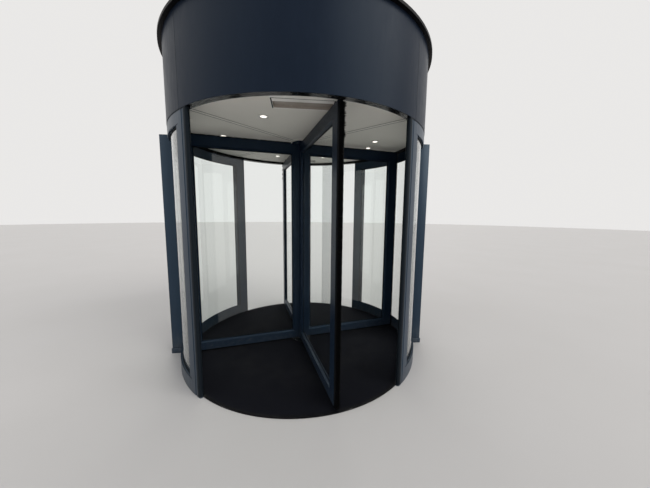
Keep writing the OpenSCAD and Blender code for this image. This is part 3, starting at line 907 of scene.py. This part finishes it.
def strip_lip(off):
    """A dark sealing lip along one edge of a cover strip, along +X."""
    inner, outer = COVER_RADIUS + LIP_SHORT, SOFFIT_IN - LIP_SHORT
    shape = sheet(outer - inner, LIP_WIDE, ((inner + outer) / 2.0, off, STRIP_UNDER - LIP_DEEP))
    thicken(shape, LIP_DEEP)
    return shape


def strip_screw_heads():
    """The screw heads along the middle of a cover strip, along +X."""
    places = [
        Matrix.Translation((STRIP_SCREW_FIRST + STRIP_SCREW_PITCH * number, STRIP_WIDE / 2.0, STRIP_UNDER))
        for number in range(STRIP_SCREWS)
    ]
    return copies(screw_head(*STRIP_SCREW), [place @ UPSIDE_DOWN for place in places])


strip_lips, strip_screws = [], []
for across, along in QUARTERS.values():
    turn = Matrix.Diagonal((across, along, 1.0, 1.0)) @ Matrix.Rotation(math.radians(-45.0), 4, "Z")
    offsets = (LIP_WIDE / 2.0 - LIP_OVER, STRIP_WIDE - LIP_WIDE / 2.0 + LIP_OVER)
    lips, heads = join([strip_lip(off) for off in offsets]), strip_screw_heads()
    for shape in (lips, heads):
        bmesh.ops.transform(shape, matrix=turn, verts=shape.verts)
    strip_lips.append(lips)
    strip_screws.append(heads)
add_rubber("ceiling_strip_lips", join(strip_lips))
add_piece("ceiling_strip_screws", join(strip_screws), strip_white, "drum")


# Ceiling lights: round recessed lamps, each a white bezel with a frosted lens
# set a little deeper. They are lit, but too weak to change the scene.
LIGHT_AT = 0.790
LIGHT_LENS = 0.0254
LIGHT_UNDER, LENS_UP = 2.226, 0.0012
LENS_DOME, LENS_THICK = 0.0035, 0.0008
LENS_SIDES = 40
LENS_STEPS = ((0.176, 0.5), (0.24, 0.35), (0.32, 0.15))
LIGHTS_FROM_FRONT = (23.0, 80.0)
LIGHT_ANGLES = [math.radians(angle - 90.0) for angle in LIGHTS_FROM_FRONT]


def bezel_white(name, tone):
    paint = new_paint(name)
    cloud = paint.noise(12.0, 4.0, 0.6)
    yellow = colour(tone * 0.96, tone * 0.94, tone * 0.88)
    return paint.principled({
        "Base Color": paint.mix(cloud, yellow, colour(tone, tone * 0.99, tone * 0.96)),
        "Roughness": paint.spread(cloud, 0.3, 0.42),
        "Normal": paint.bump(paint.noise(700.0, 2.0), 0.05, 0.0003),
    })


def lamp_lens():
    paint = new_paint("lamp_lens")
    frost = paint.noise(400.0, 3.0, 0.6)
    return paint.principled({
        "Base Color": colour(0.8, 0.79, 0.76),
        "Roughness": paint.spread(frost, 0.35, 0.5),
        "Emission Color": paint.mix(frost, colour(1.0, 0.93, 0.82), colour(1.0, 0.96, 0.88)),
        "Emission Strength": 1.6,
        "Normal": paint.bump(frost, 0.2, 0.0005),
    })


def face_towards(shape, way):
    """Turns the faces of an open sheet so that they look along a direction."""
    bmesh.ops.recalc_face_normals(shape, faces=shape.faces)
    if sum(face.normal.dot(way) for face in shape.faces) < 0.0:
        bmesh.ops.reverse_faces(shape, faces=shape.faces)


def lens():
    """A shallow dome that looks down, stepped inwards by shares of its radius and its depth."""
    shape = bmesh.new()
    bmesh.ops.create_circle(shape, cap_ends=True, segments=LENS_SIDES, radius=LIGHT_LENS)
    for share, drop in LENS_STEPS:
        face = min(shape.faces, key=lambda each: each.calc_center_median().xy.length + each.calc_area())
        inset(shape, [face], LIGHT_LENS * share)
        bmesh.ops.translate(shape, vec=(0.0, 0.0, -LENS_DOME * drop), verts=face.verts)
    bmesh.ops.translate(shape, vec=(0.0, 0.0, LIGHT_UNDER + LENS_UP), verts=shape.verts)
    face_towards(shape, Vector((0.0, 0.0, -1.0)))
    thicken(shape, -LENS_THICK)
    return shape


lens_places = [
    Matrix.Rotation(turned_to, 4, "Z") @ Matrix.Translation((LIGHT_AT, 0.0, 0.0))
    for angle in LIGHT_ANGLES for turned_to in (angle, math.pi - angle, -angle, angle - math.pi)
]
dress(["ceiling_lights"], bezel_white("bezel_white", 0.7))
add_piece("ceiling_lenses", copies(lens(), lens_places), lamp_lens(), "drum")


# Motion sensors: white moulded housings over both throats, open below. A tinted
# grey tray with the window lines the opening. A dark joint runs along the
# cover's outer edge, and dark lines at both ends paint the shadow of the gap
# beside the housing.
SENSOR_HALF = 0.225
SENSOR_OUT, SENSOR_IN = 1.125, 0.913
SENSOR_LIP = 0.086
SENSOR_RIM = 0.014
SENSOR_UNDER = 2.224
WINDOW_UP = 0.021
TRAY_THICK, TRAY_GAP, TRAY_LOW = 0.0012, 0.0003, 0.0005
WINDOW_BORDER, WINDOW_DEEP, WINDOW_EDGE = 0.009, 0.003, 0.003
PANE_LEAST = 0.01
# The end lines are painted shadow of the gap beside the housing.
JOINT_AT, JOINT_WIDE, END_SHADOW_WIDE = 1.0885, 0.006, 0.009
JOINT_INSET, JOINT_OUT, JOINT_THICK = 0.0035, 0.0003, 0.0004
SENSOR_SCREW = (0.0032, 0.0005)
SENSOR_SCREW_IN, SENSOR_SCREW_BACK = 0.02, 0.03


def sensor_tray():
    """The lining of the recess, open below, with its window raised from the top."""
    length = 2.0 * (SENSOR_HALF - SENSOR_RIM - TRAY_GAP)
    low, high = SENSOR_IN + SENSOR_RIM + TRAY_GAP, SENSOR_OUT - SENSOR_LIP - TRAY_GAP
    shape = sheet(length, high - low, (0.0, (low + high) / 2.0, SENSOR_UNDER + WINDOW_UP))
    raise_new(shape, bmesh.ops.extrude_edge_only(shape, edges=shape.edges[:]), TRAY_LOW - WINDOW_UP)
    face_towards(shape, Vector((0.0, 0.0, 1.0)))
    thicken(shape, -TRAY_THICK)
    pane = [face for face in shape.faces if face.normal.z < -0.9 and face.calc_area() > PANE_LEAST]
    inset(shape, pane, WINDOW_BORDER, WINDOW_DEEP)
    inset(shape, pane, WINDOW_EDGE)
    return shape


def sensor_joint_and_shadow():
    """A joint line along the cover's outer edge, and painted shadow beside the housing at both ends."""
    end_at = SENSOR_HALF - JOINT_INSET - END_SHADOW_WIDE / 2.0
    end_middle, end_long = (JOINT_AT + SENSOR_IN + JOINT_WIDE) / 2.0, JOINT_AT - SENSOR_IN
    strips = [(0.0, JOINT_AT, 2.0 * end_at, JOINT_WIDE)]
    strips += [(side * end_at, end_middle, END_SHADOW_WIDE, end_long) for side in (-1.0, 1.0)]
    lines = []
    for x, y, wide, deep in strips:
        line = sheet(wide, deep, (x, y, SENSOR_UNDER - JOINT_OUT))
        thicken(line, JOINT_THICK)
        lines.append(line)
    return join(lines)


def tinted_plastic():
    paint = new_paint("tinted_window")
    cloud = paint.noise(30.0, 4.0, 0.6)
    return paint.principled({
        "Base Color": paint.mix(cloud, colour(0.36, 0.32, 0.28), colour(0.43, 0.385, 0.34)),
        "Roughness": paint.spread(cloud, 0.16, 0.28),
        "Normal": paint.bump(paint.noise(120.0, 2.0), 0.06, 0.0006),
    })


housing_white = bezel_white("sensor_white", 0.92)
tinted = tinted_plastic()
dress(["sensor_front", "sensor_rear"], housing_white)
for where, along in (("front", -1.0), ("rear", 1.0)):
    add_piece("sensor_tray_" + where, mirrored(sensor_tray(), 1.0, along), tinted, "drum")
    add_rubber("sensor_joint_and_shadow_" + where, mirrored(sensor_joint_and_shadow(), 1.0, along))
    side_at, back_at = SENSOR_HALF - SENSOR_SCREW_IN, SENSOR_OUT - SENSOR_SCREW_BACK
    places = [Matrix.Translation((x, back_at, SENSOR_UNDER)) @ UPSIDE_DOWN for x in (-side_at, side_at)]
    heads = mirrored(copies(screw_head(*SENSOR_SCREW), places), 1.0, along)
    add_piece("sensor_screws_" + where, heads, screw_steel, "drum")


# Head bearing: the cover plate under the ceiling from which the rotor hangs, in
# the white of the ceiling strips, held by six socket screws.
COVER_UNDER = 2.225
COVER_SCREW = (0.0045, 0.0008)
COVER_SCREWS = 6
COVER_SCREW_AT, COVER_SCREW_START = 0.1105, 0.3
dress(["head_bearing"], strip_white)
cover_screws = round_places(COVER_SCREW_AT, COVER_UNDER, COVER_SCREWS, COVER_SCREW_START, facing_down=True)
add_screws("head_cover_screws", COVER_SCREW, cover_screws)


# Wings: four frames of bevelled aluminium bars on a square column, in a darker
# coat than the posts. Stiles run the full height, and the rails butt between.
REST_ANGLE = math.radians(-78.0)
WINGS = {
    where: REST_ANGLE + math.radians(turn)
    for where, turn in (("front", 0.0), ("right", 90.0), ("rear", 180.0), ("left", 270.0))
}
WING_IN, WING_OUT = 0.034, 1.180
WING_LOW, WING_TOP = 0.034, 2.202
INNER_STILE, OUTER_STILE = 0.070, 0.110
BASE_RAIL, HEAD_RAIL = 0.090, 0.104
PANE_IN, PANE_OUT = WING_IN + INNER_STILE, WING_OUT - OUTER_STILE
PANE_LOW, PANE_TOP = WING_LOW + BASE_RAIL, WING_TOP - HEAD_RAIL
BEVEL = 0.014
RAIL_JOINT, BEVEL_JOINT = 0.00035, 0.0007
HAND_LOW, HAND_TOP = (0.85, 1.05), (1.25, 1.5)
ROTOR_DARK, ROTOR_LIGHT = colour(0.0027, 0.0078, 0.0178), colour(0.0046, 0.0116, 0.0255)


def wing_paint(name, angle):
    """Rotor paint with the joints of the rails and of the bevelled glazing beads."""
    paint = new_paint(name)
    along = paint.turned(rotation=(0.0, 0.0, -angle))
    reach = paint.node("ShaderNodeSeparateXYZ", {}, {0: along}, out="X")
    height = paint.axis("Z")
    inner = paint.maths("COMPARE", reach, PANE_IN, RAIL_JOINT)
    outer = paint.maths("COMPARE", reach, PANE_OUT, RAIL_JOINT)
    low, high = paint.maths("LESS_THAN", height, PANE_LOW), paint.maths("GREATER_THAN", height, PANE_TOP)
    start, end = PANE_IN - BEVEL, PANE_OUT + BEVEL
    under, over = PANE_LOW - BEVEL, PANE_TOP + BEVEL
    aside = paint.maths("ABSOLUTE", reach - (start + end) / 2.0) - (end - start) / 2.0
    upward = paint.maths("ABSOLUTE", height - (under + over) / 2.0) - (over - under) / 2.0
    crease = paint.maths("COMPARE", paint.maths("MAXIMUM", aside, upward), 0.0, BEVEL_JOINT)
    joint = paint.maths("MAXIMUM", (inner + outer) * (low + high), crease)
    drift = paint.noise(1.6, 4.0, 0.6)
    peel = paint.noise(520.0, 2.0, 0.5)
    rub = paint.noise(34.0, 5.0, 0.7)
    hand = paint.between(height, *HAND_LOW) * paint.between(height, *HAND_TOP, 1.0, 0.0)
    greasy = hand * paint.between(paint.noise(16.0, 4.0, 0.7), 0.5, 0.7)
    near_floor = paint.between(height, 0.0, 0.26, 1.0, 0.0) ** 2.0
    dusty = near_floor * paint.between(rub, 0.35, 0.75) * 0.55
    scratch = paint.noise(70.0, 3.0, 0.6, paint.turned(scale=(0.35, 0.35, 1.6)))
    kick = paint.between(scratch, 0.64, 0.72) * near_floor
    base = paint.mix(drift, ROTOR_DARK, ROTOR_LIGHT)
    base = paint.mix(paint.between(rub, 0.45, 0.75) * 0.14, base, colour(0.01, 0.023, 0.044))
    # Painted light from the floor: the wing's coat turns lighter and bluer below one metre.
    base = paint.mix(paint.between(height, 0.0, FLOOR_LIGHT_TOP, 0.6, 0.0), base, PAINTED_FLOOR_LIGHT)
    base = paint.mix(dusty * 0.6, base, colour(0.12, 0.115, 0.11))
    base = paint.mix(kick * 0.4, base, colour(0.2, 0.195, 0.19))
    base = paint.mix(joint * 0.85, base, colour(0.0015, 0.0015, 0.002))
    return paint.principled({
        "Base Color": base,
        "Roughness": paint.spread(rub, 0.29, 0.4) + dusty * 0.3 - greasy * 0.08,
        "Specular IOR Level": 0.26,
        "Specular Tint": SKY_SHINE,
        "Normal": paint.bump(peel, 0.03, 0.0006, paint.bump(joint, 0.6, -0.0005)),
    })


for where, angle in WINGS.items():
    dress(["wing_" + where + "_frame"], wing_paint("wing_coat_" + where, angle))
# The column's coat also carries the painted light from the floor.
dress(["rotor_column"], powder_coat("column_coat", ROTOR_DARK, ROTOR_LIGHT, shine=0.32, floor_light_share=0.8))


# Wing glazing: flat clear panes held on both faces by a black rubber bead that
# runs round inside the bevelled bars.
PANE_HALF = 0.005
LAND_HALF = 0.008
BEAD_WIDE, BEAD_CREST = 0.0075, 0.0014
BEAD_PLAY = 0.0004
CREST_WITHIN, CREST_BEND = 0.0006, 0.5


def on_wing(shape, angle):
    """Turns a shape in the XZ plane to where its wing stands."""
    bmesh.ops.rotate(shape, cent=(0.0, 0.0, 0.0), matrix=Matrix.Rotation(angle, 3, "Z"), verts=shape.verts)
    return shape


def glazing_bead(side):
    """A rubber loop on one face of the pane, in the wing's own plane."""
    upright = Matrix.Rotation(math.pi / 2.0, 3, "X")
    wide, high = PANE_OUT - PANE_IN - BEAD_PLAY, PANE_TOP - PANE_LOW - BEAD_PLAY
    middle = ((PANE_IN + PANE_OUT) / 2.0, side * (PANE_HALF + HAIR), (PANE_LOW + PANE_TOP) / 2.0)
    shape = bmesh.new()
    bmesh.ops.create_grid(shape, x_segments=1, y_segments=1, size=0.5)
    bmesh.ops.rotate(shape, cent=(0.0, 0.0, 0.0), matrix=upright, verts=shape.verts)
    bmesh.ops.scale(shape, vec=(wide, 1.0, high), verts=shape.verts)
    bmesh.ops.translate(shape, vec=middle, verts=shape.verts)
    pane = shape.faces[:]
    inset(shape, pane, BEAD_WIDE)
    bmesh.ops.delete(shape, geom=pane, context="FACES")
    face_towards(shape, Vector((0.0, side, 0.0)))
    thicken(shape, LAND_HALF - PANE_HALF)
    crest = [
        edge for edge in shape.edges
        if len(edge.link_faces) == 2 and edge.calc_face_angle(0.0) > CREST_BEND
        and all(abs(corner.co.y) > LAND_HALF - CREST_WITHIN for corner in edge.verts)
    ]
    soften(shape, crest, BEAD_CREST)
    return shape


wing_pane = clear_glass("wing_glass", colour(0.965, 0.99, 0.98))
for where, angle in WINGS.items():
    dress(["wing_" + where + "_glass"], wing_pane)
    beads = on_wing(join([glazing_bead(1.0), glazing_bead(-1.0)]), angle)
    add_piece("wing_" + where + "_bead", beads, rubber, "rotor")


# Brush seals: black nylon pile crimped in aluminium carriers along the bottom,
# the top and the outer edge, where the carrier caps the whole end of the wing.
# Use has pushed the outer pile over a little, most of all near the top.
BRUSH_HALF = 0.014
CARRIER_DEEP = 0.007
CARRIER_GAP = 0.0002
CARRIER_CORNER = 0.0008
CARRIER_SHY, PILE_SHY = 0.0008, 0.003
CARRIER_HALF, END_CAP_HALF = BRUSH_HALF - CARRIER_SHY, 0.024
HUB_REACH = 0.115
BRUSH_BOTTOM, BRUSH_TIP = 0.014, 1.208
SIDE_BRUSH_TOP = 2.194
BRUSH_TOP, TOP_BRUSH_END = 2.218, 1.188
PILE_WIDE = 2.0 * BRUSH_HALF - PILE_SHY
TUFT_PITCH = 0.0042
TUFT_ROWS = 7
TUFT_SIDES, TUFT_ROOT, TUFT_END = 5, 0.0024, 0.0011
TUFT_LONG, TUFT_SEAT = (0.86, 0.995), (0.2, 0.8)
TUFT_ASTRAY, TUFT_ASIDE, TUFT_LEAN = 0.0004, 0.05, 0.07
BLOCK_TUFTS, BLOCK_KINDS = 20, 3
COMBED, COMBED_TOP, TOP_BLOCKS = 0.22, 0.9, 3


def bristle_block(count, reach, seed, combed=0.0):
    """A short length of pile along +X, rooted at z = 0, standing up to reach and combed towards +Y."""
    chance = random.Random(seed)
    shape = bmesh.new()
    for number in range(count):
        for row in range(TUFT_ROWS):
            long = reach * chance.uniform(*TUFT_LONG)
            wave = 0.58 + 0.27 * math.sin(number * 0.42 + seed * 2.1) + 0.15 * math.sin(number * 1.3 + seed)
            aside = chance.uniform(-TUFT_ASIDE, TUFT_ASIDE) - combed * wave * (row + 1) / TUFT_ROWS
            lean = chance.uniform(-TUFT_LEAN, TUFT_LEAN)
            tip = Matrix.Rotation(lean, 4, "Y") @ Matrix.Rotation(aside, 4, "X")
            seat = Matrix.Translation((
                (number + chance.uniform(*TUFT_SEAT)) * TUFT_PITCH,
                (row / (TUFT_ROWS - 1) - 0.5) * PILE_WIDE + chance.uniform(-TUFT_ASTRAY, TUFT_ASTRAY),
                0.0,
            ))
            bmesh.ops.create_cone(
                shape, cap_ends=True, segments=TUFT_SIDES, radius1=TUFT_ROOT, radius2=TUFT_END, depth=long,
                matrix=seat @ tip @ Matrix.Translation((0.0, 0.0, long / 2.0)),
            )
    return shape


def bristle_row(length, reach, place, turn, combed=0.0, combed_start=0.0):
    """Enough blocks for one edge; place is its start and turn points it outwards."""
    count = math.ceil(length / (TUFT_PITCH * BLOCK_TUFTS))
    tufts = int(length / TUFT_PITCH / count)
    blocks = []
    for number in range(count):
        push = combed_start if number < TOP_BLOCKS else combed
        block = bristle_block(tufts, reach, number % BLOCK_KINDS, push)
        bmesh.ops.translate(block, vec=(length * number / count, 0.0, 0.0), verts=block.verts)
        blocks.append(block)
    row = join(blocks)
    bmesh.ops.transform(row, matrix=Matrix.Translation(place) @ turn, verts=row.verts)
    return row


def carrier(start, end, half):
    """A slim bar between two corners in the wing's plane, its edges rounded."""
    return box_bar((start[0], -half, start[1]), (end[0], half, end[1]), CARRIER_CORNER)


def brush_nylon():
    paint = new_paint("brush_nylon")
    streak = paint.noise(160.0, 3.0, 0.6)
    lint = paint.between(paint.noise(60.0, 2.0), 0.72, 0.78)
    base = paint.mix(streak, colour(0.0012, 0.0012, 0.0014), colour(0.003, 0.003, 0.0034))
    return paint.principled({
        "Base Color": paint.mix(lint * 0.08, base, colour(0.04, 0.039, 0.038)),
        "Roughness": paint.spread(streak, 0.65, 0.8),
        "Specular IOR Level": 0.07,
    })


nylon = brush_nylon()
carrier_metal = dark_metal("brush_carrier", colour(0.004, 0.0045, 0.0055), colour(0.03, 0.03, 0.032), 0.4)
along_wing, outward = Matrix.Identity(4), Matrix.Rotation(math.pi / 2.0, 4, "Y")
bottom, top, end = (HUB_REACH, 0.0, WING_LOW), (HUB_REACH, 0.0, WING_TOP), (WING_OUT, 0.0, SIDE_BRUSH_TOP)
for where, angle in WINGS.items():
    rows = join([
        bristle_row(BRUSH_TIP - HUB_REACH, WING_LOW - BRUSH_BOTTOM, bottom, UPSIDE_DOWN),
        bristle_row(SIDE_BRUSH_TOP - WING_LOW, BRUSH_TIP - WING_OUT, end, outward, COMBED, COMBED_TOP),
        bristle_row(TOP_BRUSH_END - HUB_REACH, BRUSH_TOP - WING_TOP, top, along_wing),
    ])
    pile = add_piece("wing_" + where + "_pile", on_wing(rows, angle), nylon, "rotor")
    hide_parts("wing_" + where + "_brush")
    outermost = WING_OUT + CARRIER_DEEP
    bars = join([
        carrier((HUB_REACH, WING_LOW - CARRIER_DEEP), (outermost, WING_LOW - CARRIER_GAP), CARRIER_HALF),
        carrier((WING_OUT + CARRIER_GAP, WING_LOW), (outermost, SIDE_BRUSH_TOP), END_CAP_HALF),
        carrier((HUB_REACH, WING_TOP + CARRIER_GAP), (WING_OUT, WING_TOP + CARRIER_DEEP), CARRIER_HALF),
    ])
    add_piece("wing_" + where + "_carrier", on_wing(bars, angle), carrier_metal, "rotor")


# Rotor head: the round plate at the top of the column, under the cover of the
# head bearing, with a socket screw between each two wings.
HEAD_PLATE_UNDER = 2.202
PLATE_SCREW = (0.006, 0.0012)
PLATE_SCREW_AT, PLATE_SCREW_START = 0.082, REST_ANGLE + math.radians(45.0)
plate_screws = round_places(PLATE_SCREW_AT, HEAD_PLATE_UNDER, len(WINGS), PLATE_SCREW_START, facing_down=True)
add_screws("head_plate_screws", PLATE_SCREW, plate_screws, body="rotor")
